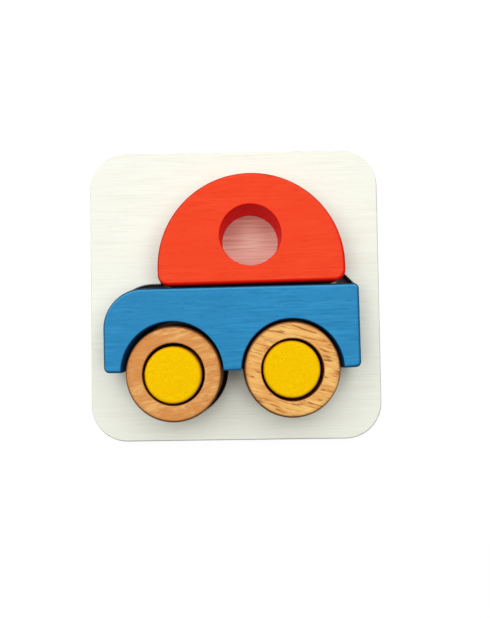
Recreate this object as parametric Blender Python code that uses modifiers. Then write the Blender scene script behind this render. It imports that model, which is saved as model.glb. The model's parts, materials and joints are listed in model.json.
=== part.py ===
# Wooden car puzzle: a square board with a car-shaped recess that holds six loose, chunky pieces.
# Metres, +Z up. The origin lies under the middle of the board. The car faces -X and its roof is at +Y.
import math

import bmesh
import bpy
from mathutils import Matrix

# Loose pieces
PIECE_THICKNESS = 0.030
EDGE_ROUND = 0.0020          # hand-friendly round-over on every rim of a loose piece
WHEEL_DIAMETER = 0.0555
WHEEL_HOLE_DIAMETER = 0.036
HUB_CLEARANCE = 0.0015       # all round the hub, inside the wheel's hole
BODY_HEIGHT = 0.0486
ARCH_CLEARANCE = 0.00165     # between a wheel and its arch
ARCH_DROP = 0.00045          # centre of an arch below the body's lower edge
FOOT_WIDTH = 0.0101          # body beside an arch, at each end
LEG_WIDTH = 0.0107           # body between the two arches
FRONT_CORNER_RADIUS = 0.0232
FACE_CORNER_RADIUS = 0.0012  # outer corners of the body, as left on its flat face
CABIN_RADIUS = 0.0545
CABIN_SKIRT = 0.0100         # straight sides below the half-round roof
CABIN_CORNER_RADIUS = 0.0065
WINDOW_DIAMETER = 0.036
WINDOW_HEIGHT = 0.0280       # centre of the window above the cabin's base

# Layout of the car
REAR_SHELF = 0.0090          # body behind the cabin
CABIN_SEAM = 0.0014          # between the cabin's base and the body
WHEEL_DROP = 0.00185         # wheel centres below the body's lower edge
CAR_DROP = 0.0012            # car below the middle of the board

# Board
BACK_THICKNESS = 0.0050
TRAY_THICKNESS = 0.0077
BOARD_MARGIN = 0.01355       # least width of the rim round the recess
BOARD_CORNER_RADIUS = 0.0225
BOARD_EDGE_ROUND = 0.0008
RECESS_CLEARANCE = 0.0022    # round every loose piece
SHOULDER_RISE = 0.0060       # start of the recess's slanted shoulder, above its straight upper edge
SEAT_GAP = 0.0003            # under whatever lies on the back panel

# How far each loose piece has slid along X and Y, as shares of the clearance round it,
# and how far the rear end of the two long pieces has risen, as a share of the same clearance
BODY_SLIDE = (-0.72, -0.41)
BODY_RISE = 0.34
CABIN_SLIDE = (-0.165, -0.38)
CABIN_RISE = 0.39
FRONT_WHEEL_SLIDE = (-0.26, -0.36)
REAR_WHEEL_SLIDE = (-0.715, 0.40)
FRONT_HUB_SLIDE = (-0.26, -0.37)
REAR_HUB_SLIDE = (-0.245, 0.055)

# Fineness of the facets
CHORD_ERROR = 0.00006
TURNED_FACETS = 36
ROUND_STEPS = 2
WELD_DISTANCE = 0.00001
CREASE_ANGLE = math.radians(50)

# Sizes that follow from the ones above
wheel_radius = WHEEL_DIAMETER / 2
arch_radius = wheel_radius + ARCH_CLEARANCE
hub_radius = WHEEL_HOLE_DIAMETER / 2 - HUB_CLEARANCE
wheelbase = LEG_WIDTH + 2 * arch_radius
body_length = wheelbase + 2 * (arch_radius + FOOT_WIDTH)
small_corner = FACE_CORNER_RADIUS + EDGE_ROUND
cabin_height = CABIN_SKIRT + CABIN_RADIUS

# The recess and the board round it
car_height = wheel_radius + WHEEL_DROP + BODY_HEIGHT + CABIN_SEAM + cabin_height
board_side = max(body_length, car_height) + 2 * (RECESS_CLEARANCE + BOARD_MARGIN)
wheel_y = wheel_radius - car_height / 2 - CAR_DROP
body_bottom = wheel_y + WHEEL_DROP
body_top = body_bottom + BODY_HEIGHT
cabin_x = body_length / 2 - REAR_SHELF - CABIN_RADIUS
roof_centre_y = body_top + CABIN_SEAM + CABIN_SKIRT
wheel_xs = (-wheelbase / 2, wheelbase / 2)
seat_level = BACK_THICKNESS + SEAT_GAP


def arc(centre, radius, start, end):
    # Points from one angle to another, in degrees, counted the way the arc runs
    step = 2 * math.degrees(math.acos(1 - CHORD_ERROR / radius))
    count = max(2, math.ceil(abs(end - start) / step))
    angles = [math.radians(start + (end - start) * i / count) for i in range(count + 1)]
    return [(centre[0] + radius * math.cos(a), centre[1] + radius * math.sin(a)) for a in angles]


def circle(centre, radius):
    return arc(centre, radius, 0, 360)


def without_repeats(points):
    # Tangent arcs share their end points, so each shared point is kept once
    kept = []
    for point in points:
        if not kept or math.dist(point, kept[-1]) > WELD_DISTANCE:
            kept.append(point)
    if math.dist(kept[0], kept[-1]) <= WELD_DISTANCE:
        kept.pop()
    return kept


def rounded_square(side, radius):
    inner = side / 2 - radius
    points = []
    for turn, (x, y) in enumerate([(1, 1), (-1, 1), (-1, -1), (1, -1)]):
        points += arc((x * inner, y * inner), radius, 90 * turn, 90 * (turn + 1))
    return points


def body_outline():
    # Drawn round the middle of the body: both feet, the leg and the arches between them, then the top
    half, bottom, top = body_length / 2, -BODY_HEIGHT / 2, BODY_HEIGHT / 2
    corner = half - small_corner
    points = arc((-corner, bottom + small_corner), small_corner, 180, 270)
    for x in wheel_xs:
        points += arch((x, bottom - ARCH_DROP))
    points += arc((corner, bottom + small_corner), small_corner, 270, 360)
    points += arc((corner, top - small_corner), small_corner, 0, 90)
    points += arc((FRONT_CORNER_RADIUS - half, top - FRONT_CORNER_RADIUS), FRONT_CORNER_RADIUS, 90, 180)
    return points


def arch(centre):
    # Starts and ends on the body's lower edge, where it leaves sharp tips
    lean = math.degrees(math.asin(ARCH_DROP / arch_radius))
    return arc(centre, arch_radius, 180 - lean, lean)


def cabin_outline():
    # Drawn round the centre of the half-round roof
    corner = CABIN_RADIUS - CABIN_CORNER_RADIUS
    corner_y = CABIN_CORNER_RADIUS - CABIN_SKIRT
    points = arc((0, 0), CABIN_RADIUS, 0, 180)
    points += arc((-corner, corner_y), CABIN_CORNER_RADIUS, 180, 270)
    points += arc((corner, corner_y), CABIN_CORNER_RADIUS, 270, 360)
    return points


def recess_outline():
    # One clearance outside the whole car, from the front foot along the wheels, rear and roof to the front
    half = body_length / 2
    corner = half - small_corner
    corner_radius = small_corner + RECESS_CLEARANCE
    wheel_recess = wheel_radius + RECESS_CLEARANCE
    roof_recess = CABIN_RADIUS + RECESS_CLEARANCE
    upper_edge = body_top + RECESS_CLEARANCE
    points = arc((-corner, body_bottom + small_corner), corner_radius, 180, 270)
    meeting = math.degrees(math.asin((WHEEL_DROP - RECESS_CLEARANCE) / wheel_recess))
    for x in wheel_xs:
        points += arc((x, wheel_y), wheel_recess, 180 - meeting, 360 + meeting)
    points += arc((corner, body_bottom + small_corner), corner_radius, 270, 360)
    # The slanted shoulder leaves the cabin's wall and touches the rear corner
    shoulder = (cabin_x + roof_recess, upper_edge + SHOULDER_RISE)
    run, fall = corner - shoulder[0], shoulder[1] - (body_top - small_corner)
    touch = math.degrees(math.acos(corner_radius / math.hypot(run, fall)) - math.atan2(run, fall))
    points += arc((corner, body_top - small_corner), corner_radius, 0, 90 - touch)
    points.append(shoulder)
    points += arc((cabin_x, roof_centre_y), roof_recess, 0, 180)
    # The cabin's front wall comes down on the straight upper edge or, on a short body, on the round corner
    front_wall = cabin_x - roof_recess
    front = (FRONT_CORNER_RADIUS - half, body_top - FRONT_CORNER_RADIUS)
    front_recess = FRONT_CORNER_RADIUS + RECESS_CLEARANCE
    start = math.acos(min(0, front_wall - front[0]) / front_recess)
    points.append((front_wall, front[1] + front_recess * math.sin(start)))
    points += arc(front, front_recess, math.degrees(start), 180)
    return points


def linear(code):
    # Linear colour from a six-digit sRGB code
    shares = [int(code[i:i + 2], 16) / 255 for i in (0, 2, 4)]
    return [s / 12.92 if s <= 0.04045 else ((s + 0.055) / 1.055) ** 2.4 for s in shares] + [1]


def finish(name, code, roughness):
    material = bpy.data.materials.new(name)
    material.use_nodes = True
    shader = material.node_tree.nodes["Principled BSDF"]
    shader.inputs["Base Color"].default_value = linear(code)
    shader.inputs["Roughness"].default_value = roughness
    shader.inputs["Metallic"].default_value = 0
    return material


def add_part(name, mesh, material):
    part = bpy.data.objects.new(name, mesh)
    mesh.materials.append(material)
    parts.objects.link(part)
    return part


def sawn_part(name, outlines, thickness, edge_round, material):
    # A plank cut to its outlines, with rounded rims and its underside at the part's own zero
    curve = bpy.data.curves.new(name, "CURVE")
    curve.dimensions = "2D"
    curve.fill_mode = "BOTH"
    curve.extrude = thickness / 2 - edge_round
    curve.bevel_depth = edge_round
    curve.bevel_resolution = ROUND_STEPS
    curve.offset = -edge_round
    for outline in outlines:
        points = without_repeats(outline)
        spline = curve.splines.new("POLY")
        spline.points.add(len(points) - 1)
        for knot, (x, y) in zip(spline.points, points):
            knot.co = (x, y, 0, 1)
        spline.use_cyclic_u = True
    drawing = bpy.data.objects.new(name, curve)
    parts.objects.link(drawing)
    evaluated = drawing.evaluated_get(bpy.context.evaluated_depsgraph_get())
    mesh = bpy.data.meshes.new_from_object(evaluated)
    bpy.data.objects.remove(drawing)
    shape = bmesh.new()
    shape.from_mesh(mesh)
    bmesh.ops.remove_doubles(shape, verts=shape.verts, dist=WELD_DISTANCE)
    bmesh.ops.recalc_face_normals(shape, faces=shape.faces)
    shape.to_mesh(mesh)
    shape.free()
    mesh.transform(Matrix.Translation((0, 0, thickness / 2)))
    mesh.shade_smooth()
    mesh.set_sharp_from_angle(angle=CREASE_ANGLE)
    mesh.materials.clear()
    return add_part(name, mesh, material)


def turned_part(name, profile, closed, material):
    # A profile beside the axis, turned once round it
    points = without_repeats(profile)
    edges = [(i, i + 1) for i in range(len(points) - 1)]
    if closed:
        edges.append((len(points) - 1, 0))
    mesh = bpy.data.meshes.new(name)
    mesh.from_pydata([(x, 0, z) for x, z in points], edges, [])
    part = add_part(name, mesh, material)
    turning = part.modifiers.new("Turning", "SCREW")
    turning.steps = TURNED_FACETS
    turning.render_steps = turning.steps
    turning.use_merge_vertices = True
    turning.merge_threshold = WELD_DISTANCE
    turning.use_smooth_shade = True
    return part


def wheel(name, material):
    outer, top = wheel_radius - EDGE_ROUND, PIECE_THICKNESS - EDGE_ROUND
    inner = WHEEL_HOLE_DIAMETER / 2 + EDGE_ROUND
    profile = arc((inner, top), EDGE_ROUND, 180, 90) + arc((outer, top), EDGE_ROUND, 90, 0)
    profile += arc((outer, EDGE_ROUND), EDGE_ROUND, 0, -90)
    profile += arc((inner, EDGE_ROUND), EDGE_ROUND, -90, -180)
    return turned_part(name, profile, True, material)


def hub(name, material):
    outer, top = hub_radius - EDGE_ROUND, PIECE_THICKNESS - EDGE_ROUND
    profile = [(0, PIECE_THICKNESS)] + arc((outer, top), EDGE_ROUND, 90, 0)
    profile += arc((outer, EDGE_ROUND), EDGE_ROUND, 0, -90) + [(0, 0)]
    return turned_part(name, profile, False, material)


def lay_down(part, place, slide, clearance, turn=0.0):
    # On the back panel, at its place in the car, moved as far as it has slid
    x, y = (p + clearance * s for p, s in zip(place, slide))
    part.location = (x, y, seat_level)
    part.rotation_euler = (0, 0, turn)
    return x, y


for thing in list(bpy.data.objects):
    bpy.data.objects.remove(thing)
parts = bpy.data.collections.new("Wooden car puzzle")
bpy.context.scene.collection.children.link(parts)

# Board: a plain back panel and, glued on it, a frame with the car cut out of it
board_outline = rounded_square(board_side, BOARD_CORNER_RADIUS)
back_wood = finish("pale panel wood", "E9D9BE", 0.6)
sawn_part("back_panel", [board_outline], BACK_THICKNESS, BOARD_EDGE_ROUND, back_wood)
whitewash = finish("whitewashed wood", "F3F0E4", 0.6)
tray_outlines = [board_outline, recess_outline()]
tray = sawn_part("tray_frame", tray_outlines, TRAY_THICKNESS, BOARD_EDGE_ROUND, whitewash)
tray.location.z = seat_level

# Body and cabin
blue_stain = finish("blue stained wood", "308BC0", 0.5)
body = sawn_part("car_body", [body_outline()], PIECE_THICKNESS, EDGE_ROUND, blue_stain)
body_turn = math.asin(BODY_RISE * RECESS_CLEARANCE / (body_length / 2))
lay_down(body, (0, (body_top + body_bottom) / 2), BODY_SLIDE, RECESS_CLEARANCE, body_turn)

red_stain = finish("red stained wood", "F0482C", 0.5)
window = circle((0, WINDOW_HEIGHT - CABIN_SKIRT), WINDOW_DIAMETER / 2)
cabin = sawn_part("cabin", [cabin_outline(), window], PIECE_THICKNESS, EDGE_ROUND, red_stain)
cabin_turn = math.asin(CABIN_RISE * RECESS_CLEARANCE / CABIN_RADIUS)
lay_down(cabin, (cabin_x, roof_centre_y), CABIN_SLIDE, RECESS_CLEARANCE, cabin_turn)

# Wheels, each with a loose hub in its hole
wheel_wood = finish("natural wheel wood", "DDA066", 0.55)
yellow_stain = finish("yellow stained end grain", "F4CC12", 0.5)
wheel_slides = (FRONT_WHEEL_SLIDE, REAR_WHEEL_SLIDE)
hub_slides = (FRONT_HUB_SLIDE, REAR_HUB_SLIDE)
for end, x, wheel_slide, hub_slide in zip(("front", "rear"), wheel_xs, wheel_slides, hub_slides):
    ring = wheel(end + "_wheel", wheel_wood)
    place = lay_down(ring, (x, wheel_y), wheel_slide, RECESS_CLEARANCE)
    lay_down(hub(end + "_hub", yellow_stain), place, hub_slide, HUB_CLEARANCE)
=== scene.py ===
import json
import math

import bmesh
import bpy
from mathutils import Matrix, Vector

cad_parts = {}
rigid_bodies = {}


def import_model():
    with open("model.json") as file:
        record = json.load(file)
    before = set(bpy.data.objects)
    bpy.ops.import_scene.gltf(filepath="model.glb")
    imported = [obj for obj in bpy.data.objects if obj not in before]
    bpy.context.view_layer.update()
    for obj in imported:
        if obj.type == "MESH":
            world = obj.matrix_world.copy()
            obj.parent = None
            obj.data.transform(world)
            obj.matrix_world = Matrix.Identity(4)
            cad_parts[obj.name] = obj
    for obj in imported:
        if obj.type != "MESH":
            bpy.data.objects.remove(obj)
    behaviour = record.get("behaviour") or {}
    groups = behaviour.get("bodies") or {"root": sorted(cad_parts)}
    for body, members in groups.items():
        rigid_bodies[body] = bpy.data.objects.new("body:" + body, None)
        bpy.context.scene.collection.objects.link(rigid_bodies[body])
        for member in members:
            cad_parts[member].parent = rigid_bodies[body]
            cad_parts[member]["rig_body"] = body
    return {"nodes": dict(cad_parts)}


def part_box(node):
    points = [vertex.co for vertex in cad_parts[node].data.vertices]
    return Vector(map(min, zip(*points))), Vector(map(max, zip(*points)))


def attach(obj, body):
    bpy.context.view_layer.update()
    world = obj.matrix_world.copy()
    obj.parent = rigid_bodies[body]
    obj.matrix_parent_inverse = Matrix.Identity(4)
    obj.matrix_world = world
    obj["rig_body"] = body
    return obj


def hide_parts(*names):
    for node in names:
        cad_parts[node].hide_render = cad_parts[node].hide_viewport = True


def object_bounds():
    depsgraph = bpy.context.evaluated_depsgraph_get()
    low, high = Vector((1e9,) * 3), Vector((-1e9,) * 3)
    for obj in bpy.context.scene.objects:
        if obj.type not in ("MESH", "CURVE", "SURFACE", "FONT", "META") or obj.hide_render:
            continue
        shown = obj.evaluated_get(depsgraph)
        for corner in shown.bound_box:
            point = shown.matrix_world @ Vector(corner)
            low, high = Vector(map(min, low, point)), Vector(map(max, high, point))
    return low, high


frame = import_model()

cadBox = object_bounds()

# Fineness of the finished meshes, in metres and radians
mesh = {
    "arcError": 0.00001, "roundSteps": 8, "turnedFacets": 180, "weld": 0.000004, "crease": math.radians(30),
    "level": 0.9999,                    # a face whose normal points up or down this far counts as flat
    "rimReach": 1.01,                   # how far outside a hole its rim ends, in round-overs
}

# Sizes of the car that its pieces and the recess round them share, in metres
car = {"bodyHalf": 0.07425, "bodyHeight": 0.0486, "frontCorner": 0.0232, "smallCorner": 0.0032,
       "wheelX": 0.03475, "roofRadius": 0.0545}


def linearColour(code):
    # sRGB hex to the linear colour that the shaders work in
    shares = [int(code[i:i + 2], 16) / 255 for i in (0, 2, 4)]
    return [s / 12.92 if s <= 0.04045 else ((s + 0.055) / 1.055) ** 2.4 for s in shares] + [1]


def addNode(tree, kind, settings={}, inputs={}):
    # An input is either a value or the socket that feeds it
    node = tree.nodes.new(kind)
    for name, value in settings.items():
        setattr(node, name, value)
    for name, value in inputs.items():
        if isinstance(value, bpy.types.NodeSocket):
            tree.links.new(value, node.inputs[name])
        else:
            node.inputs[name].default_value = value
    return node


# Woods and stains

# What all the woods share. A span is in flatness, which is one on a level face and nought on an upright wall.
sanded = {
    "noiseRoughness": 0.55, "ior": 1.46,
    "wallSpan": (0.97, 0.50),           # where the colour of the walls sets in and is full
    "arrisEnd": (0.02, 0.25),           # where the line along an arris is gone and is full
    "faceUp": 0.5,                      # what points up further than this is on top
    "glossSpread": (-0.05, 0.07),       # added to the roughness between the fibres and on them
    "poreDepth": -1.0, "fibreDepth": -0.5,
}
noFade = (2, 1)                         # no normal faces that far, so the line along a rim stays


def flatness(tree, surface):
    # One on a level face, nought on an upright wall
    upward = addNode(tree, "ShaderNodeSeparateXYZ", {}, {0: surface["Normal"]}).outputs[2]
    return addNode(tree, "ShaderNodeMath", {"operation": "ABSOLUTE"}, {0: upward}).outputs[0]


def topOnly(tree, surface):
    # One on what faces up, nought on walls and undersides
    upward = addNode(tree, "ShaderNodeSeparateXYZ", {}, {0: surface["Normal"]}).outputs[2]
    return addNode(tree, "ShaderNodeMath", {"operation": "GREATER_THAN"}, {
        0: upward, 1: sanded["faceUp"]}).outputs[0]


def fadedRound(tree, surface, middle, stain):
    # Sets in at one distance from a middle and is full at another
    away = addNode(tree, "ShaderNodeVectorMath", {"operation": "DISTANCE"}, {
        0: surface["Object"], 1: middle}).outputs["Value"]
    start, full = stain["reach"]
    return addNode(tree, "ShaderNodeMapRange", {"interpolation_type": "SMOOTHSTEP"}, {
        "Value": away, "From Min": start, "From Max": full, "To Max": stain["amount"]}).outputs[0]


def sandedWood(name, look):
    # Sawn, sanded and oiled or stained wood. The eye sees long fibres, wide growth bands and short dark pores
    # that follow one grain, walls in a deeper colour (partly stain taken up, partly painted shade), rims
    # rubbed by hands and a dark line along each arris, partly gathered stain and partly painted shade on the
    # round-over.
    # Each layer of grain has its size in millimetres along, across and down, the noise at which it sets in
    # and is full, and its amount. Real fibres and pores are about a tenth of a millimetre wide and too fine
    # to show in the render, so they are drawn several times as wide.
    material = bpy.data.materials.new(name)
    material.use_nodes = True
    tree = material.node_tree
    shader = tree.nodes["Principled BSDF"]
    surface = addNode(tree, "ShaderNodeTexCoord").outputs
    layers = {}
    for layer in ("fibre", "band", "pore", "blotch"):
        size, low, high, amount = look[layer]
        along = addNode(tree, "ShaderNodeMapping", {"vector_type": "TEXTURE"}, {
            "Vector": surface["Object"], "Location": look["heart"],
            "Rotation": (0, 0, math.radians(look["grainTurn"])), "Scale": [mm / 1000 for mm in size]})
        noise = addNode(tree, "ShaderNodeTexNoise", {}, {
            "Vector": along.outputs[0], "Scale": 1, "Detail": look["detail"],
            "Roughness": sanded["noiseRoughness"], "Distortion": look["waviness"]})
        layers[layer] = addNode(tree, "ShaderNodeMapRange", {"interpolation_type": "SMOOTHSTEP"}, {
            "Value": noise.outputs[0], "From Min": low, "From Max": high, "To Max": amount}).outputs[0]
    # How far the surface turns from flat: a rim lies between a face and a wall
    flat = flatness(tree, surface)
    spans = {"walls": (sanded["wallSpan"], look["wallAmount"]), "above the wall": (sanded["arrisEnd"], 1),
             "arris": (look["arrisSpan"], look["arrisAmount"])}
    for layer, (span, amount) in spans.items():
        layers[layer] = addNode(tree, "ShaderNodeMapRange", {"interpolation_type": "SMOOTHSTEP"}, {
            "Value": flat, "From Min": span[0], "From Max": span[1], "To Max": amount}).outputs[0]
    # The line along each arris is partly painted shade on the round-over
    arris = addNode(tree, "ShaderNodeMath", {"operation": "MULTIPLY"}, {
        0: layers["arris"], 1: layers["above the wall"]}).outputs[0]
    slope = addNode(tree, "ShaderNodeMath", {"operation": "SUBTRACT"}, {0: 1.0, 1: flat}).outputs[0]
    rim = addNode(tree, "ShaderNodeMath", {"operation": "MULTIPLY"}, {0: flat, 1: slope}).outputs[0]
    rubbed = addNode(tree, "ShaderNodeMath", {"operation": "MULTIPLY"}, {
        0: rim, 1: layers["blotch"]}).outputs[0]
    rubbed = addNode(tree, "ShaderNodeMath", {"operation": "MULTIPLY", "use_clamp": True}, {
        0: rubbed, 1: look["rubbing"]}).outputs[0]
    # Colour, one layer over the other
    colour = linearColour(look["pale"])
    steps = [("deep", layers["fibre"]), ("banded", layers["band"]), ("blotched", layers["blotch"]),
             ("open", layers["pore"]), ("walls", layers["walls"]), ("rubbed", rubbed), ("arris", arris)]
    for shade, share in steps:
        colour = addNode(tree, "ShaderNodeMix", {"data_type": "RGBA"}, {
            0: share, 6: colour, 7: linearColour(look[shade])}).outputs[2]
    tree.links.new(colour, shader.inputs["Base Color"])
    # Sheen breaks up along the fibres, and the pores stay a little open
    dull, duller = [look["roughness"] + spread for spread in sanded["glossSpread"]]
    gloss = addNode(tree, "ShaderNodeMapRange", {}, {
        "Value": layers["fibre"], "From Max": look["fibre"][3], "To Min": dull, "To Max": duller}).outputs[0]
    tree.links.new(gloss, shader.inputs["Roughness"])
    relief = addNode(tree, "ShaderNodeMath", {"operation": "MULTIPLY_ADD"}, {
        0: layers["pore"], 1: sanded["poreDepth"], 2: 1.0}).outputs[0]
    relief = addNode(tree, "ShaderNodeMath", {"operation": "MULTIPLY_ADD"}, {
        0: layers["fibre"], 1: sanded["fibreDepth"], 2: relief}).outputs[0]
    raised = addNode(tree, "ShaderNodeBump", {}, {
        "Strength": 1.0, "Distance": look["relief"] / 1000, "Height": relief})
    tree.links.new(raised.outputs[0], shader.inputs["Normal"])
    shader.inputs["IOR"].default_value = sanded["ior"]
    shader.inputs["Specular IOR Level"].default_value = look["sheen"]
    return material


def stainedWhere(wood, share, code):
    # A further layer of colour over all the others, where the share says so
    tree = wood.node_tree
    paint = tree.nodes["Principled BSDF"].inputs["Base Color"]
    mixed = addNode(tree, "ShaderNodeMix", {"data_type": "RGBA"}, {
        0: share, 6: paint.links[0].from_socket, 7: linearColour(code)})
    tree.links.new(mixed.outputs[2], paint)


def stainedWalls(wood, middle, stain):
    # Another colour for the walls within reach of a middle, or for those beyond it
    tree = wood.node_tree
    surface = addNode(tree, "ShaderNodeTexCoord").outputs
    away = addNode(tree, "ShaderNodeVectorMath", {"operation": "DISTANCE"}, {
        0: surface["Object"], 1: middle}).outputs["Value"]
    there = addNode(tree, "ShaderNodeMath", {"operation": stain["where"]}, {
        0: away, 1: stain["reach"]}).outputs[0]
    wall = addNode(tree, "ShaderNodeMapRange", {}, {
        "Value": flatness(tree, surface), "From Min": stain["tilt"][0], "From Max": stain["tilt"][1],
        "To Max": stain["amount"]}).outputs[0]
    share = addNode(tree, "ShaderNodeMath", {"operation": "MULTIPLY"}, {0: there, 1: wall}).outputs[0]
    stainedWhere(wood, share, stain["colour"])


def rimLine(wood, rim):
    # A line along the rims that face one way: rubbed paler by fingers, or deeper where stain or dirt gathered
    tree = wood.node_tree
    surface = addNode(tree, "ShaderNodeTexCoord").outputs
    upward = addNode(tree, "ShaderNodeSeparateXYZ", {}, {0: surface["Normal"]}).outputs[2]
    facing = addNode(tree, "ShaderNodeVectorMath", {"operation": "DOT_PRODUCT"}, {
        0: surface["Normal"], 1: rim["towards"]}).outputs["Value"]
    share = rim["amount"]
    for value, span in ((facing, rim["rise"]), (facing, rim["fade"]), (upward, rim["upper"])):
        part = addNode(tree, "ShaderNodeMapRange", {"interpolation_type": "SMOOTHSTEP"}, {
            "Value": value, "From Min": span[0], "From Max": span[1]}).outputs[0]
        share = addNode(tree, "ShaderNodeMath", {"operation": "MULTIPLY"}, {0: share, 1: part}).outputs[0]
    stainedWhere(wood, share, rim["colour"])


# Outlines

def arcPoints(centre, radius, start, end):
    # From one angle to another in degrees, with facets too small to see
    step = 2 * math.degrees(math.acos(1 - mesh["arcError"] / radius))
    count = max(2, math.ceil(abs(end - start) / step))
    turns = [math.radians(start + (end - start) * i / count) for i in range(count + 1)]
    return [(centre[0] + radius * math.cos(t), centre[1] + radius * math.sin(t)) for t in turns]


def eachOnce(points):
    return [p for i, p in enumerate(points) if math.dist(p, points[i - 1]) > mesh["weld"]]


def finishMesh(shape, wood):
    # Closed and smooth all over, with the flat faces kept truly flat up to their rims
    work = bmesh.new()
    work.from_mesh(shape)
    bmesh.ops.remove_doubles(work, verts=work.verts, dist=mesh["weld"])
    bare = [e for e in work.edges if not e.link_faces]
    bmesh.ops.delete(work, geom=bare, context="EDGES")
    bmesh.ops.recalc_face_normals(work, faces=work.faces)
    work.normal_update()
    for edge in work.edges:
        levels = [abs(f.normal.z) > mesh["level"] for f in edge.link_faces]
        edge.smooth = len(set(levels)) == 1 and edge.calc_face_angle(0) < mesh["crease"]
    for face in work.faces:
        face.smooth = True
    work.to_mesh(shape)
    work.free()
    shape.materials.clear()
    shape.materials.append(wood)
    return shape


def dressed(name, node, shape):
    # The finished piece takes the place of its solid, on the same body
    piece = bpy.data.objects.new(name, shape)
    bpy.context.scene.collection.objects.link(piece)
    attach(piece, frame["nodes"][node]["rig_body"])
    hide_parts(node)
    return piece


def sawnPiece(name, node, outlines, cut, wood, place=(0, 0), foot=0.0):
    # A plank sawn to its outlines and rounded over at its rims. Its place goes into its mesh.
    low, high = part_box(node)
    base = low.z - foot
    thickness = high.z - base
    drawing = bpy.data.curves.new(name, "CURVE")
    drawing.dimensions = "2D"
    drawing.fill_mode = "BOTH"
    drawing.extrude = thickness / 2 - cut["edgeRound"]
    drawing.bevel_depth = cut["edgeRound"]
    drawing.bevel_resolution = mesh["roundSteps"]
    drawing.offset = -cut["edgeRound"]
    for outline in outlines:
        points = eachOnce(outline)
        line = drawing.splines.new("POLY")
        line.points.add(len(points) - 1)
        for knot, (x, y) in zip(line.points, points):
            knot.co = (x, y, 0, 1)
        line.use_cyclic_u = True
    pencil = bpy.data.objects.new(name + "Drawing", drawing)
    bpy.context.scene.collection.objects.link(pencil)
    shape = bpy.data.meshes.new_from_object(pencil.evaluated_get(bpy.context.evaluated_depsgraph_get()))
    bpy.data.objects.remove(pencil)
    shape.transform(Matrix.Translation((place[0], place[1], base + thickness / 2)) @
                    Matrix.Rotation(math.radians(cut["turn"]), 4, "Z"))
    return dressed(name, node, finishMesh(shape, wood))


def crispRim(piece, node, middle, cut, bore, crisp, crispRound):
    # A drill or a bandsaw leaves a crisper rim than the cutter that went round the outside
    low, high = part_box(node)
    share = cut[crispRound] / cut["edgeRound"]
    for vertex in piece.data.vertices:
        out = vertex.co.xy - middle
        if out.length < cut[bore] + mesh["rimReach"] * cut["edgeRound"]:
            vertex.co.xy = middle + out.normalized() * (cut[crisp] + (out.length - cut[bore]) * share)
            rim = high.z if vertex.co.z > (low.z + high.z) / 2 else low.z
            vertex.co.z = rim + (vertex.co.z - rim) * share


# Board: a back panel and the whitewashed tray glued on it

boardCut = {
    "side": 0.180, "corner": 0.0225, "edgeRound": 0.0008, "turn": 0,
    "glueFill": 0.9,                    # share of the glue line that the tray reaches down into
}

panelLook = {
    # Pale plywood face, sanded and left bare: clear brown lines where the knife cut across the growth rings
    "pale": "FAF3E4", "deep": "E0C6B0", "banded": "EEDDC8", "blotched": "F3E6D3", "open": "B08A72",
    "walls": "DCC3A2", "rubbed": "F0E2CC", "arris": "8A6E56",
    "heart": (0, 0, 0), "grainTurn": 0, "detail": 3, "waviness": 0.15,
    "fibre": ((40, 0.8, 2), 0.42, 0.62, 0.9), "band": ((120, 4, 6), 0.40, 0.65, 0.6),
    "pore": ((14, 0.5, 1), 0.60, 0.72, 0.5), "blotch": ((20, 14, 9), 0.42, 0.62, 0.4),
    "wallAmount": 0.4, "arrisAmount": 0.0, "arrisSpan": (0.94, 0.62), "rubbing": 2.0,
    "roughness": 0.62, "sheen": 0.1, "relief": 0.03,
}
panelWood = sandedWood("bare plywood face", panelLook)

whitewashLook = {
    # Thin white wash rubbed into sanded wood: nearly white, with the grain showing as faint warm lines
    "pale": "F4F6EA", "deep": "EAEBDB", "banded": "F0F1E3", "blotched": "F2F4E7", "open": "E1E1CF",
    "walls": "E6E1D2", "rubbed": "DED7C0", "arris": "B9B4A4",
    "heart": (0, 0, 0), "grainTurn": 0.5, "detail": 3, "waviness": 0.2,
    "fibre": ((26, 0.8, 2), 0.40, 0.68, 0.7), "band": ((90, 5, 6), 0.40, 0.65, 0.4),
    "pore": ((6, 0.6, 1), 0.60, 0.74, 0.5), "blotch": ((30, 18, 9), 0.42, 0.62, 0.6),
    "wallAmount": 0.5, "arrisAmount": 0.5, "arrisSpan": (0.94, 0.62), "rubbing": 1.6,
    "roughness": 0.6, "sheen": 0.1, "relief": 0.02,
}
whitewash = sandedWood("whitewashed wood", whitewashLook)

# The recess walls are painted nearly black, partly laser char and partly painted shade for the deep gaps. The
# board's outer walls were sanded clean.
charAndShade = {"where": "LESS_THAN", "reach": 0.0886, "tilt": (0.7, 0.3), "amount": 0.95, "colour": "1C1712"}
# Painted shade: the rims on the near side, which face away from the roof-side light, are painted grey
shadedGreyRim = {"towards": (0.42, -0.91, 0), "rise": (0.05, 0.35), "fade": noFade, "upper": (0.02, 0.10),
           "amount": 0.8, "colour": "8C8C84"}
stainedWalls(whitewash, (0, 0, 0), charAndShade)
rimLine(whitewash, shadedGreyRim)


def boardOutline():
    inner = boardCut["side"] / 2 - boardCut["corner"]
    points = []
    for turn, (x, y) in enumerate([(1, 1), (-1, 1), (-1, -1), (1, -1)]):
        points += arcPoints((x * inner, y * inner), boardCut["corner"], 90 * turn, 90 * (turn + 1))
    return points


recessCut = {
    "room": 0.0022,                     # round every loose piece
    "bodyTop": 0.00495, "wheelRadius": 0.02775, "wheelY": -0.0455, "roofX": 0.01075, "roofY": 0.01635,
    "shoulderRise": 0.0060,             # the slanted shoulder behind the cabin
}


def recessDiscs():
    # Middles and radii of the arcs round the roof, the front wheel and the rear wheel
    cut = recessCut
    roof = (cut["roofX"], cut["roofY"]), car["roofRadius"] + cut["room"]
    wheels = [((x, cut["wheelY"]), cut["wheelRadius"] + cut["room"]) for x in (-car["wheelX"], car["wheelX"])]
    return [roof] + wheels


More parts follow.
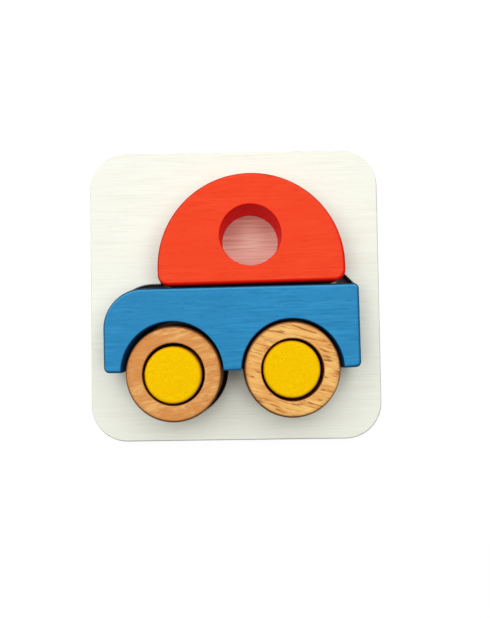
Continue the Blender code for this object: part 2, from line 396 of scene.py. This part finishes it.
def recessOutline():
    # The whole car's outline with its room all round, from the front foot along the wheels, rear and roof
    (roof, roofRadius), *wheels = recessDiscs()
    room, top = recessCut["room"], recessCut["bodyTop"]
    bottom = top - car["bodyHeight"]
    corner, foot = car["bodyHalf"] - car["smallCorner"], bottom + car["smallCorner"]
    cornerRadius = car["smallCorner"] + room
    points = arcPoints((-corner, foot), cornerRadius, 180, 270)
    for middle, radius in wheels:
        meeting = math.degrees(math.asin((bottom - room - middle[1]) / radius))
        points += arcPoints(middle, radius, 180 - meeting, 360 + meeting)
    points += arcPoints((corner, foot), cornerRadius, 270, 360)
    shoulder = (roof[0] + roofRadius, top + room + recessCut["shoulderRise"])
    heel = (corner, top - car["smallCorner"])
    run, fall = heel[0] - shoulder[0], shoulder[1] - heel[1]
    touch = math.degrees(math.acos(cornerRadius / math.hypot(run, fall)) - math.atan2(run, fall))
    points += arcPoints(heel, cornerRadius, 0, 90 - touch)
    points += [shoulder]
    points += arcPoints(roof, roofRadius, 0, 180)
    points += [(roof[0] - roofRadius, top + room)]
    front = (car["frontCorner"] - car["bodyHalf"], top - car["frontCorner"])
    points += arcPoints(front, car["frontCorner"] + room, 90, 180)
    return points


# Painted shade under the wheels, which darkens the gaps round them
wheelPrintShade = {"reach": (0.0345, 0.0285), "amount": 0.9, "colour": "3E2D20"}


def shadedWheelPrints():
    # Painted shade: soft dark brown discs on the bare panel below the wheels, which darken the gaps round
    # them
    tree = panelWood.node_tree
    surface = addNode(tree, "ShaderNodeTexCoord").outputs
    above = topOnly(tree, surface)
    for node in ("front_wheel", "rear_wheel"):
        low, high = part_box(node)
        foot = ((low.x + high.x) / 2, (low.y + high.y) / 2, low.z)
        shadedDisc = fadedRound(tree, surface, foot, wheelPrintShade)
        share = addNode(tree, "ShaderNodeMath", {"operation": "MULTIPLY"}, {0: shadedDisc, 1: above}).outputs[0]
        stainedWhere(panelWood, share, wheelPrintShade["colour"])


# Painted shade on the panel along the recess walls
gapShade = {
    "reach": (0.0045, 0.0010),          # from the recess wall: where it sets in and where it is full
    "outer": -0.004,                    # how far it crept under the tray
    "patch": 0.012, "patchDetail": 2, "uneven": 0.003, "amount": 0.9, "colour": "241D17",
}


def shadedRecessFloor():
    # Painted shade on the panel: dark beside the recess walls, where the narrow gaps lie in shade, and clean
    # towards the middle
    tree = panelWood.node_tree
    surface = addNode(tree, "ShaderNodeTexCoord").outputs
    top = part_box("back_panel")[1].z
    # How far a spot lies inside the recess, which is the body's rectangle, a roof disc and two wheel discs
    halfHeight = car["bodyHeight"] / 2
    middle = recessCut["bodyTop"] - halfHeight
    place = addNode(tree, "ShaderNodeSeparateXYZ", {}, {0: surface["Object"]}).outputs
    sides = []
    for value, centre, reach in ((place[0], 0, car["bodyHalf"]), (place[1], middle, halfHeight)):
        off = addNode(tree, "ShaderNodeMath", {"operation": "SUBTRACT"}, {0: value, 1: centre}).outputs[0]
        off = addNode(tree, "ShaderNodeMath", {"operation": "ABSOLUTE"}, {0: off}).outputs[0]
        sides.append(addNode(tree, "ShaderNodeMath", {"operation": "SUBTRACT"}, {
            0: reach + recessCut["room"], 1: off}).outputs[0])
    inside = addNode(tree, "ShaderNodeMath", {"operation": "MINIMUM"}, {0: sides[0], 1: sides[1]}).outputs[0]
    for (x, y), radius in recessDiscs():
        away = addNode(tree, "ShaderNodeVectorMath", {"operation": "DISTANCE"}, {
            0: surface["Object"], 1: (x, y, top)}).outputs["Value"]
        depth = addNode(tree, "ShaderNodeMath", {"operation": "SUBTRACT"}, {0: radius, 1: away}).outputs[0]
        inside = addNode(tree, "ShaderNodeMath", {"operation": "MAXIMUM"}, {0: inside, 1: depth}).outputs[0]
    # The edge of the painted shade wanders unevenly
    wander = addNode(tree, "ShaderNodeTexNoise", {}, {
        "Vector": surface["Object"], "Scale": 1 / gapShade["patch"], "Detail": gapShade["patchDetail"]}).outputs[0]
    reached = addNode(tree, "ShaderNodeMath", {"operation": "MULTIPLY_ADD"}, {
        0: wander, 1: -gapShade["uneven"], 2: inside}).outputs[0]
    reached = addNode(tree, "ShaderNodeMath", {"operation": "ADD"}, {
        0: reached, 1: gapShade["uneven"] / 2}).outputs[0]
    share = addNode(tree, "ShaderNodeMapRange", {"interpolation_type": "SMOOTHSTEP"}, {
        "Value": reached, "From Min": gapShade["reach"][0], "From Max": gapShade["reach"][1],
        "To Max": gapShade["amount"]}).outputs[0]
    within = addNode(tree, "ShaderNodeMath", {"operation": "GREATER_THAN"}, {
        0: inside, 1: gapShade["outer"]}).outputs[0]
    for part in (within, topOnly(tree, surface)):
        share = addNode(tree, "ShaderNodeMath", {"operation": "MULTIPLY"}, {0: share, 1: part}).outputs[0]
    stainedWhere(panelWood, share, gapShade["colour"])


ply = {"middle": (0.0016, 0.0034), "amount": 0.75, "colour": "A97E55"}


def pliedEdge():
    # Three plies at the panel's edge: the middle one shows its end grain, darker than the two faces
    tree = panelWood.node_tree
    surface = addNode(tree, "ShaderNodeTexCoord").outputs
    height = addNode(tree, "ShaderNodeSeparateXYZ", {}, {0: surface["Object"]}).outputs[2]
    share = ply["amount"]
    for way, level in zip(("GREATER_THAN", "LESS_THAN"), ply["middle"]):
        part = addNode(tree, "ShaderNodeMath", {"operation": way}, {0: height, 1: level}).outputs[0]
        share = addNode(tree, "ShaderNodeMath", {"operation": "MULTIPLY"}, {0: share, 1: part}).outputs[0]
    stainedWhere(panelWood, share, ply["colour"])


shadedWheelPrints()
shadedRecessFloor()
pliedEdge()
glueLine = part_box("tray_frame")[0].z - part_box("back_panel")[1].z
sawnPiece("backPanel", "back_panel", [boardOutline()], boardCut, panelWood)
sawnPiece("whitewashedTray", "tray_frame", [boardOutline(), recessOutline()], boardCut, whitewash,
          foot=glueLine * boardCut["glueFill"])
print("board sawn")


# Cabin: a half-round block with a drilled window

cabinCut = {"skirt": 0.0100, "corner": 0.0065, "window": 0.018, "windowRise": 0.0180, "windowHeart": 0.020,
            "drilled": 0.0177, "drilledRound": 0.0007, "edgeRound": 0.0020, "turn": 0.902}

redLook = {
    # Beech with a water stain and a thin satin lacquer: even red, fine dashes along the grain, deeper walls
    "pale": "F24B29", "deep": "E93B1E", "banded": "ED4323", "blotched": "EF4524", "open": "D92C14",
    "walls": "F0060E", "rubbed": "F35D3A", "arris": "8A0C06",
    "heart": (0, 0, 0), "grainTurn": 1, "detail": 3, "waviness": 0.1,
    "fibre": ((16, 1.2, 2), 0.38, 0.68, 0.7), "band": ((90, 7, 6), 0.40, 0.62, 0.6),
    "pore": ((5, 0.8, 1), 0.60, 0.74, 0.6), "blotch": ((35, 22, 9), 0.42, 0.62, 0.5),
    "wallAmount": 1.0, "arrisAmount": 0.85, "arrisSpan": (0.93, 0.62), "rubbing": 0.4,
    "roughness": 0.5, "sheen": 0.05, "relief": 0.02,
}
redStain = sandedWood("red stained beech", redLook)


def cabinOutline():
    cut = cabinCut
    side, foot = car["roofRadius"] - cut["corner"], cut["corner"] - cut["skirt"]
    points = arcPoints((0, 0), car["roofRadius"], 0, 180)
    points += arcPoints((-side, foot), cut["corner"], 180, 270)
    points += arcPoints((side, foot), cut["corner"], 270, 360)
    return points


def cabinPlace():
    # Its half-round roof touches the solid's box on the left and at the top
    low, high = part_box("cabin")
    return low.x + car["roofRadius"], high.y - car["roofRadius"]


window = arcPoints((0, cabinCut["windowRise"]), cabinCut["window"], 0, 360)
cabin = sawnPiece("redCabin", "cabin", [cabinOutline(), window], cabinCut, redStain, cabinPlace())
cabinLean = Matrix.Rotation(math.radians(cabinCut["turn"]), 2)
windowMiddle = Vector(cabinPlace()) + cabinLean @ Vector((0, cabinCut["windowRise"]))
crispRim(cabin, "cabin", windowMiddle, cabinCut, "window", "drilled", "drilledRound")

# Painted shade: deeper red along the rims on the near side, which face away from the roof-side light
shadedRedRim = {"towards": (0.64, -0.77, 0), "rise": (-0.01, 0.22), "fade": noFade, "upper": (0.20, 0.45),
          "amount": 0.9, "colour": "E00C06"}
# The drill burnished the window to an even deep red; the sawn outside walls are painted darker, partly stain
# taken up and partly painted shade
drilledWall = {"where": "LESS_THAN", "reach": 0.027, "tilt": (0.95, 0.6), "amount": 1.0, "colour": "EC0008"}
sawnWall = {"where": "GREATER_THAN", "reach": 0.027, "tilt": (0.6, 0.2), "amount": 0.8, "colour": "8C0608"}
rimLine(redStain, shadedRedRim)
for stain in (drilledWall, sawnWall):
    stainedWalls(redStain, (windowMiddle.x, windowMiddle.y, cabinCut["windowHeart"]), stain)
print("cabin sawn and drilled")


# Body: a block with a rounded front corner and an arch over each wheel

bodyCut = {"arch": 0.0294, "archDrop": 0.00045, "tipRun": 5, "archRound": 0.0008, "edgeRound": 0.0020,
           "turn": 0.577}
bodyLean = Matrix.Rotation(math.radians(bodyCut["turn"]), 2)

blueLook = {
    # The same beech under a blue stain: fine darker dashes along the grain, navy walls, partly stain taken up
    # and partly painted shade
    "pale": "2F8FC3", "deep": "1B6FA2", "banded": "2681B2", "blotched": "2984B8", "open": "145A8B",
    "walls": "0C3C6A", "rubbed": "489AC8", "arris": "06263F",
    "heart": (0, 0, 0), "grainTurn": 0.8, "detail": 3, "waviness": 0.1,
    "fibre": ((16, 1.3, 2), 0.38, 0.68, 0.65), "band": ((90, 7, 6), 0.40, 0.62, 0.6),
    "pore": ((4, 0.8, 1), 0.58, 0.76, 0.5), "blotch": ((35, 22, 9), 0.42, 0.62, 0.5),
    "wallAmount": 0.9, "arrisAmount": 0.85, "arrisSpan": (0.985, 0.72), "rubbing": 0.6,
    "roughness": 0.5, "sheen": 0.10, "relief": 0.02,
}
blueStain = sandedWood("blue stained beech", blueLook)

# Painted highlight along the upper rim that faces the roof-side light, and painted shade along the rims on
# the near side, away from it
highlightRim = {"towards": (0, 1, 0), "rise": (0.06, 0.28), "fade": (0.65, 0.40), "upper": (0.70, 0.80),
           "amount": 0.5, "colour": "50A3D2"}
shadedNavyRim = {"towards": (0.64, -0.77, 0), "rise": (0.02, 0.32), "fade": noFade, "upper": (0.20, 0.50),
           "amount": 0.8, "colour": "16537F"}
for rim in (highlightRim, shadedNavyRim):
    rimLine(blueStain, rim)


def archMiddle(x):
    return Vector((x, -car["bodyHeight"] / 2 - bodyCut["archDrop"]))


def archPoints(x):
    # Meets the lower edge in a sharp tip on each side, with one long facet there that the round-over turns on
    radius, middle = bodyCut["arch"], archMiddle(x)
    lean = math.degrees(math.asin(bodyCut["archDrop"] / radius))
    first = lean + bodyCut["tipRun"]
    tips = [arcPoints(middle, radius, turn, 90)[0] for turn in (180 - lean, lean)]
    return tips[:1] + arcPoints(middle, radius, 180 - first, first) + tips[1:]


def bodyCorners():
    # Centres of the round front corner and of the small rear corner above
    half, top = car["bodyHalf"], car["bodyHeight"] / 2
    front = Vector((car["frontCorner"] - half, top - car["frontCorner"]))
    rear = Vector((half - car["smallCorner"], top - car["smallCorner"]))
    return front, rear


def bodyOutline():
    front, rear = bodyCorners()
    foot = car["smallCorner"] - car["bodyHeight"] / 2
    points = arcPoints((-rear.x, foot), car["smallCorner"], 180, 270)
    points += archPoints(-car["wheelX"]) + archPoints(car["wheelX"])
    points += arcPoints((rear.x, foot), car["smallCorner"], 270, 360)
    points += arcPoints(rear, car["smallCorner"], 0, 90)
    points += arcPoints(front, car["frontCorner"], 90, 180)
    return points


def bodyPlace():
    # Its front corner touches the solid's box on the left, and its rear corner touches it above
    low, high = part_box("car_body")
    front, rear = [bodyLean @ corner for corner in bodyCorners()]
    return low.x + car["frontCorner"] - front.x, high.y - car["smallCorner"] - rear.y


body = sawnPiece("blueBody", "car_body", [bodyOutline()], bodyCut, blueStain, bodyPlace())
for x in (-car["wheelX"], car["wheelX"]):
    middle = Vector(bodyPlace()) + bodyLean @ archMiddle(x)
    crispRim(body, "car_body", middle, bodyCut, "arch", "arch", "archRound")
print("body sawn")


# Wheels and hubs: one rule turns them all

def turnedTree():
    # A rounded rectangle swept once round a circle: a ring, or a slice of rod where there is no hole
    tree = bpy.data.node_groups.new("turnedWood", "GeometryNodeTree")
    for name in ("Outer Diameter", "Hole Diameter", "Thickness", "Edge Round", "Hole Round"):
        tree.interface.new_socket(name, in_out="INPUT", socket_type="NodeSocketFloat")
    tree.interface.new_socket("Middle", in_out="INPUT", socket_type="NodeSocketVector")
    tree.interface.new_socket("Wood", in_out="INPUT", socket_type="NodeSocketMaterial")
    tree.interface.new_socket("Piece", in_out="OUTPUT", socket_type="NodeSocketGeometry")
    given = addNode(tree, "NodeGroupInput").outputs
    # The sweep runs halfway between hole and outside, at a quarter of both diameters together
    both = addNode(tree, "ShaderNodeMath", {"operation": "ADD"}, {
        0: given["Outer Diameter"], 1: given["Hole Diameter"]}).outputs[0]
    middleRadius = addNode(tree, "ShaderNodeMath", {"operation": "MULTIPLY"}, {0: both, 1: 1 / 4}).outputs[0]
    apart = addNode(tree, "ShaderNodeMath", {"operation": "SUBTRACT"}, {
        0: given["Outer Diameter"], 1: given["Hole Diameter"]}).outputs[0]
    width = addNode(tree, "ShaderNodeMath", {"operation": "MULTIPLY"}, {0: apart, 1: 1 / 2}).outputs[0]
    circle = addNode(tree, "GeometryNodeCurvePrimitiveCircle", {}, {
        "Resolution": mesh["turnedFacets"], "Radius": middleRadius})
    section = addNode(tree, "GeometryNodeCurvePrimitiveQuadrilateral", {}, {
        "Width": width, "Height": given["Thickness"]})
    # The corners beside the hole have a round-over of their own
    corner = addNode(tree, "GeometryNodeInputPosition").outputs[0]
    side = addNode(tree, "ShaderNodeSeparateXYZ", {}, {0: corner}).outputs[0]
    outer = addNode(tree, "ShaderNodeMath", {"operation": "GREATER_THAN"}, {0: side, 1: 0.0}).outputs[0]
    rounding = addNode(tree, "ShaderNodeMapRange", {}, {
        "Value": outer, "To Min": given["Hole Round"], "To Max": given["Edge Round"]}).outputs[0]
    rounded = addNode(tree, "GeometryNodeFilletCurve", {"mode": "POLY"}, {
        "Curve": section.outputs[0], "Count": 2 * mesh["roundSteps"], "Radius": rounding})
    swept = addNode(tree, "GeometryNodeCurveToMesh", {}, {
        "Curve": circle.outputs[0], "Profile Curve": rounded.outputs[0]})
    welded = addNode(tree, "GeometryNodeMergeByDistance", {}, {
        "Geometry": swept.outputs[0], "Distance": mesh["weld"]})
    placed = addNode(tree, "GeometryNodeTransform", {}, {
        "Geometry": welded.outputs[0], "Translation": given["Middle"]})
    plain = addNode(tree, "GeometryNodeRealizeInstances", {}, {"Geometry": placed.outputs[0]})
    stained = addNode(tree, "GeometryNodeSetMaterial", {}, {
        "Geometry": plain.outputs[0], "Material": given["Wood"]})
    addNode(tree, "NodeGroupOutput", {}, {0: stained.outputs[0]})
    return tree


turning = turnedTree()


def turnedPiece(name, node, cut, wood):
    low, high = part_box(node)
    values = {"Outer Diameter": high.x - low.x, "Hole Diameter": cut["hole"], "Thickness": high.z - low.z,
              "Edge Round": cut["edgeRound"], "Hole Round": cut["holeRound"],
              "Middle": (low + high) / 2, "Wood": wood}
    blank = bpy.data.objects.new(name + "Blank", bpy.data.meshes.new(name + "Blank"))
    bpy.context.scene.collection.objects.link(blank)
    lathe = blank.modifiers.new("turning", "NODES")
    lathe.node_group = turning
    for socket in turning.interface.items_tree:
        if socket.in_out == "INPUT":
            lathe[socket.identifier] = values[socket.name]
    shape = bpy.data.meshes.new_from_object(blank.evaluated_get(bpy.context.evaluated_depsgraph_get()))
    bpy.data.objects.remove(blank)
    return dressed(name, node, finishMesh(shape, wood))


wheelCut = {"hole": 0.036, "edgeRound": 0.0020, "holeRound": 0.0008}

frontWheelLook = {
    # Oiled hardwood ring cut along the grain: warm orange tan, soft bands that rise slightly to the rear
    "pale": "EAB26C", "deep": "D38D4B", "banded": "CC803F", "blotched": "D08743", "open": "945020",
    # The dark brown walls are painted shade
    "walls": "603618", "rubbed": "EDBD7C", "arris": "4A240C",
    "heart": (0, 0, 0.05), "grainTurn": 14, "detail": 3, "waviness": 0.3,
    "fibre": ((7, 0.85, 2), 0.36, 0.66, 0.8), "band": ((18, 4, 5), 0.46, 0.62, 0.55),
    "pore": ((4, 0.8, 1), 0.58, 0.72, 0.55), "blotch": ((22, 14, 9), 0.44, 0.58, 0.75),
    "wallAmount": 0.9, "arrisAmount": 0.8, "arrisSpan": (0.97, 0.62), "rubbing": 0.6,
    "roughness": 0.52, "sheen": 0.15, "relief": 0.03,
}
rearWheelLook = {
    # A second ring from a paler, more open board: distinct brown pore streaks that fall to the rear
    "pale": "F6C878", "deep": "DE9A4C", "banded": "DB9144", "blotched": "EBAE60", "open": "A25A26",
    # The dark brown walls are painted shade
    "walls": "683E1E", "rubbed": "F0C783", "arris": "4E280C",
    "heart": (0.033, -0.045, 0), "grainTurn": -16, "detail": 2, "waviness": 0.3,
    "fibre": ((10, 0.9, 2), 0.38, 0.66, 0.7), "band": ((24, 3, 5), 0.42, 0.64, 0.6),
    "pore": ((11, 1.4, 2), 0.52, 0.66, 0.9), "blotch": ((14, 10, 9), 0.42, 0.62, 0.5),
    "wallAmount": 0.9, "arrisAmount": 0.8, "arrisSpan": (0.97, 0.62), "rubbing": 0.6,
    "roughness": 0.52, "sheen": 0.15, "relief": 0.05,
}
# Painted shade: the oiled faces darken towards the outside, and the rims on the near side, away from the
# roof-side light, turn brown
faceRimShade = {"reach": (0.0286, 0.0320), "amount": 0.45, "colour": "9C5424"}
shadedBrownRim = {"towards": (-0.3, -0.95, 0), "rise": (0.10, 0.50), "fade": noFade, "upper": (0.10, 0.30),
            "amount": 0.8, "colour": "5E3010"}
# The walls of the holes are painted dark maroon as shade for the narrow gap round the hub, below a paler rim
boredRim = {"where": "LESS_THAN", "reach": 0.025, "tilt": (0.99, 0.9), "amount": 0.9, "colour": "CE8C4C"}
boredWallShade = {"where": "LESS_THAN", "reach": 0.025, "tilt": (0.6, 0.3), "amount": 0.95, "colour": "40120A"}


def wheelRing(name, node, wood):
    low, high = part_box(node)
    middle = (low + high) / 2
    surface = addNode(wood.node_tree, "ShaderNodeTexCoord").outputs
    stainedWhere(wood, fadedRound(wood.node_tree, surface, middle, faceRimShade), faceRimShade["colour"])
    rimLine(wood, shadedBrownRim)
    for stain in (boredRim, boredWallShade):
        stainedWalls(wood, middle, stain)
    turnedPiece(name, node, wheelCut, wood)


wheelRing("frontWheelRing", "front_wheel", sandedWood("oiled hardwood, orange", frontWheelLook))
wheelRing("rearWheelRing", "rear_wheel", sandedWood("oiled hardwood, streaked", rearWheelLook))

hubCut = {"hole": 0.0, "edgeRound": 0.0020, "holeRound": 0.0}

yellowLook = {
    # A slice of round rod under a yellow stain: end grain, so the pores are fine dots and the fibres run down
    "pale": "F8CB00", "deep": "EDB400", "banded": "F3BD00", "blotched": "F5C100", "open": "D49500",
    # The deeper orange of the walls and round-over is painted shade
    "walls": "DE9400", "rubbed": "F8D430", "arris": "A86A00",
    "heart": (0, 0, 0), "grainTurn": 20, "detail": 2, "waviness": 0.0,
    "fibre": ((1.3, 1.3, 30), 0.38, 0.64, 0.65), "band": ((9, 2.5, 60), 0.42, 0.64, 0.4),
    "pore": ((0.9, 0.9, 25), 0.60, 0.72, 0.4), "blotch": ((9, 9, 40), 0.42, 0.62, 0.5),
    "wallAmount": 0.8, "arrisAmount": 0.0, "arrisSpan": (0.88, 0.62), "rubbing": 0.4,
    "roughness": 0.5, "sheen": 0.02, "relief": 0.03,
}
yellowStain = sandedWood("yellow stained end grain", yellowLook)
turnedPiece("frontHubSlice", "front_hub", hubCut, yellowStain)
turnedPiece("rearHubSlice", "rear_hub", hubCut, yellowStain)
print("wheels and hubs turned")


# Studio: pale floor, soft light from above the roof, camera straight above

studio = {"floorSize": 4.0, "floorGap": 0.0001, "floorPaint": "F2F2F0", "floorGlow": 0.93, "floorShade": 0.10,
          "skyPaint": "FFFFFF", "skyGlow": 1.0, "ambient": 0.03}
softboxes = {
    # place, size and power of each, all aimed at the car
    "roof side": ((-0.09, 0.62, 0.93), (3.2, 0.9), 20.9),
    "left": ((-0.37, -0.09, 0.88), (0.35, 0.35), 1.75),
    "right": ((0.39, -0.09, 0.88), (0.35, 0.35), 1.75),
}
lens = {"place": (0.0076339, -0.0159655, 0.2997394), "turn": (0.0249, 0.0052, -0.0154), "focal": 26.796,
        "sensor": 36, "near": 0.01}


def seenDirectly(tree):
    # One for what the camera sees, also by way of gloss or glass
    path = addNode(tree, "ShaderNodeLightPath").outputs
    shiny = addNode(tree, "ShaderNodeMath", {"operation": "MAXIMUM"}, {
        0: path["Is Glossy Ray"], 1: path["Is Transmission Ray"]}).outputs[0]
    return addNode(tree, "ShaderNodeMath", {"operation": "MAXIMUM"}, {
        0: path["Is Camera Ray"], 1: shiny}).outputs[0]


floorShape = bpy.data.meshes.new("floor")
half = studio["floorSize"] / 2
depth = cadBox[0].z - studio["floorGap"]
corners = [(x * half, y * half, depth) for x, y in ((-1, -1), (1, -1), (1, 1), (-1, 1))]
floorShape.from_pydata(corners, [], [(0, 1, 2, 3)])
floor = bpy.data.objects.new("floor", floorShape)
bpy.context.scene.collection.objects.link(floor)
floorPaint = bpy.data.materials.new("white studio floor")  # glows a little to the eye and keeps a soft shadow
floorPaint.use_nodes = True
floorTree = floorPaint.node_tree
floorTree.nodes.remove(floorTree.nodes["Principled BSDF"])
white = linearColour(studio["skyPaint"])
matte = addNode(floorTree, "ShaderNodeBsdfDiffuse", {}, {"Color": linearColour(studio["floorPaint"])})
faint = addNode(floorTree, "ShaderNodeBsdfDiffuse", {}, {"Color": [studio["floorShade"]] * 3 + [1]})
glow = addNode(floorTree, "ShaderNodeEmission", {}, {"Color": white, "Strength": studio["floorGlow"]})
bright = addNode(floorTree, "ShaderNodeAddShader", {}, {0: faint.outputs[0], 1: glow.outputs[0]})
either = addNode(floorTree, "ShaderNodeMixShader", {}, {
    0: seenDirectly(floorTree), 1: matte.outputs[0], 2: bright.outputs[0]})
floorTree.links.new(either.outputs[0], floorTree.nodes["Material Output"].inputs["Surface"])
floorShape.materials.append(floorPaint)

sky = bpy.data.worlds.new("studio")
sky.use_nodes = True
bpy.context.scene.world = sky
strength = addNode(sky.node_tree, "ShaderNodeMapRange", {}, {
    "Value": seenDirectly(sky.node_tree), "To Min": studio["ambient"], "To Max": studio["skyGlow"]})
backdrop = sky.node_tree.nodes["Background"]
backdrop.inputs["Color"].default_value = white
sky.node_tree.links.new(strength.outputs[0], backdrop.inputs["Strength"])

for name, (place, size, power) in softboxes.items():
    cloth = bpy.data.lights.new(name, "AREA")
    cloth.shape = "RECTANGLE"
    cloth.size, cloth.size_y = size
    cloth.energy = power
    lamp = bpy.data.objects.new(name, cloth)
    lamp.location = place
    lamp.rotation_euler = (-Vector(place)).to_track_quat("-Z", "Y").to_euler()
    lamp.visible_camera = False
    bpy.context.scene.collection.objects.link(lamp)

viewer = bpy.data.cameras.new("camera")
viewer.lens = lens["focal"]
viewer.sensor_width = lens["sensor"]
viewer.clip_start = lens["near"]
camera = bpy.data.objects.new("camera", viewer)
camera.location = lens["place"]
camera.rotation_euler = lens["turn"]
bpy.context.scene.collection.objects.link(camera)
bpy.context.scene.camera = camera
bpy.context.scene.view_settings.view_transform = "Standard"
print("studio lit")
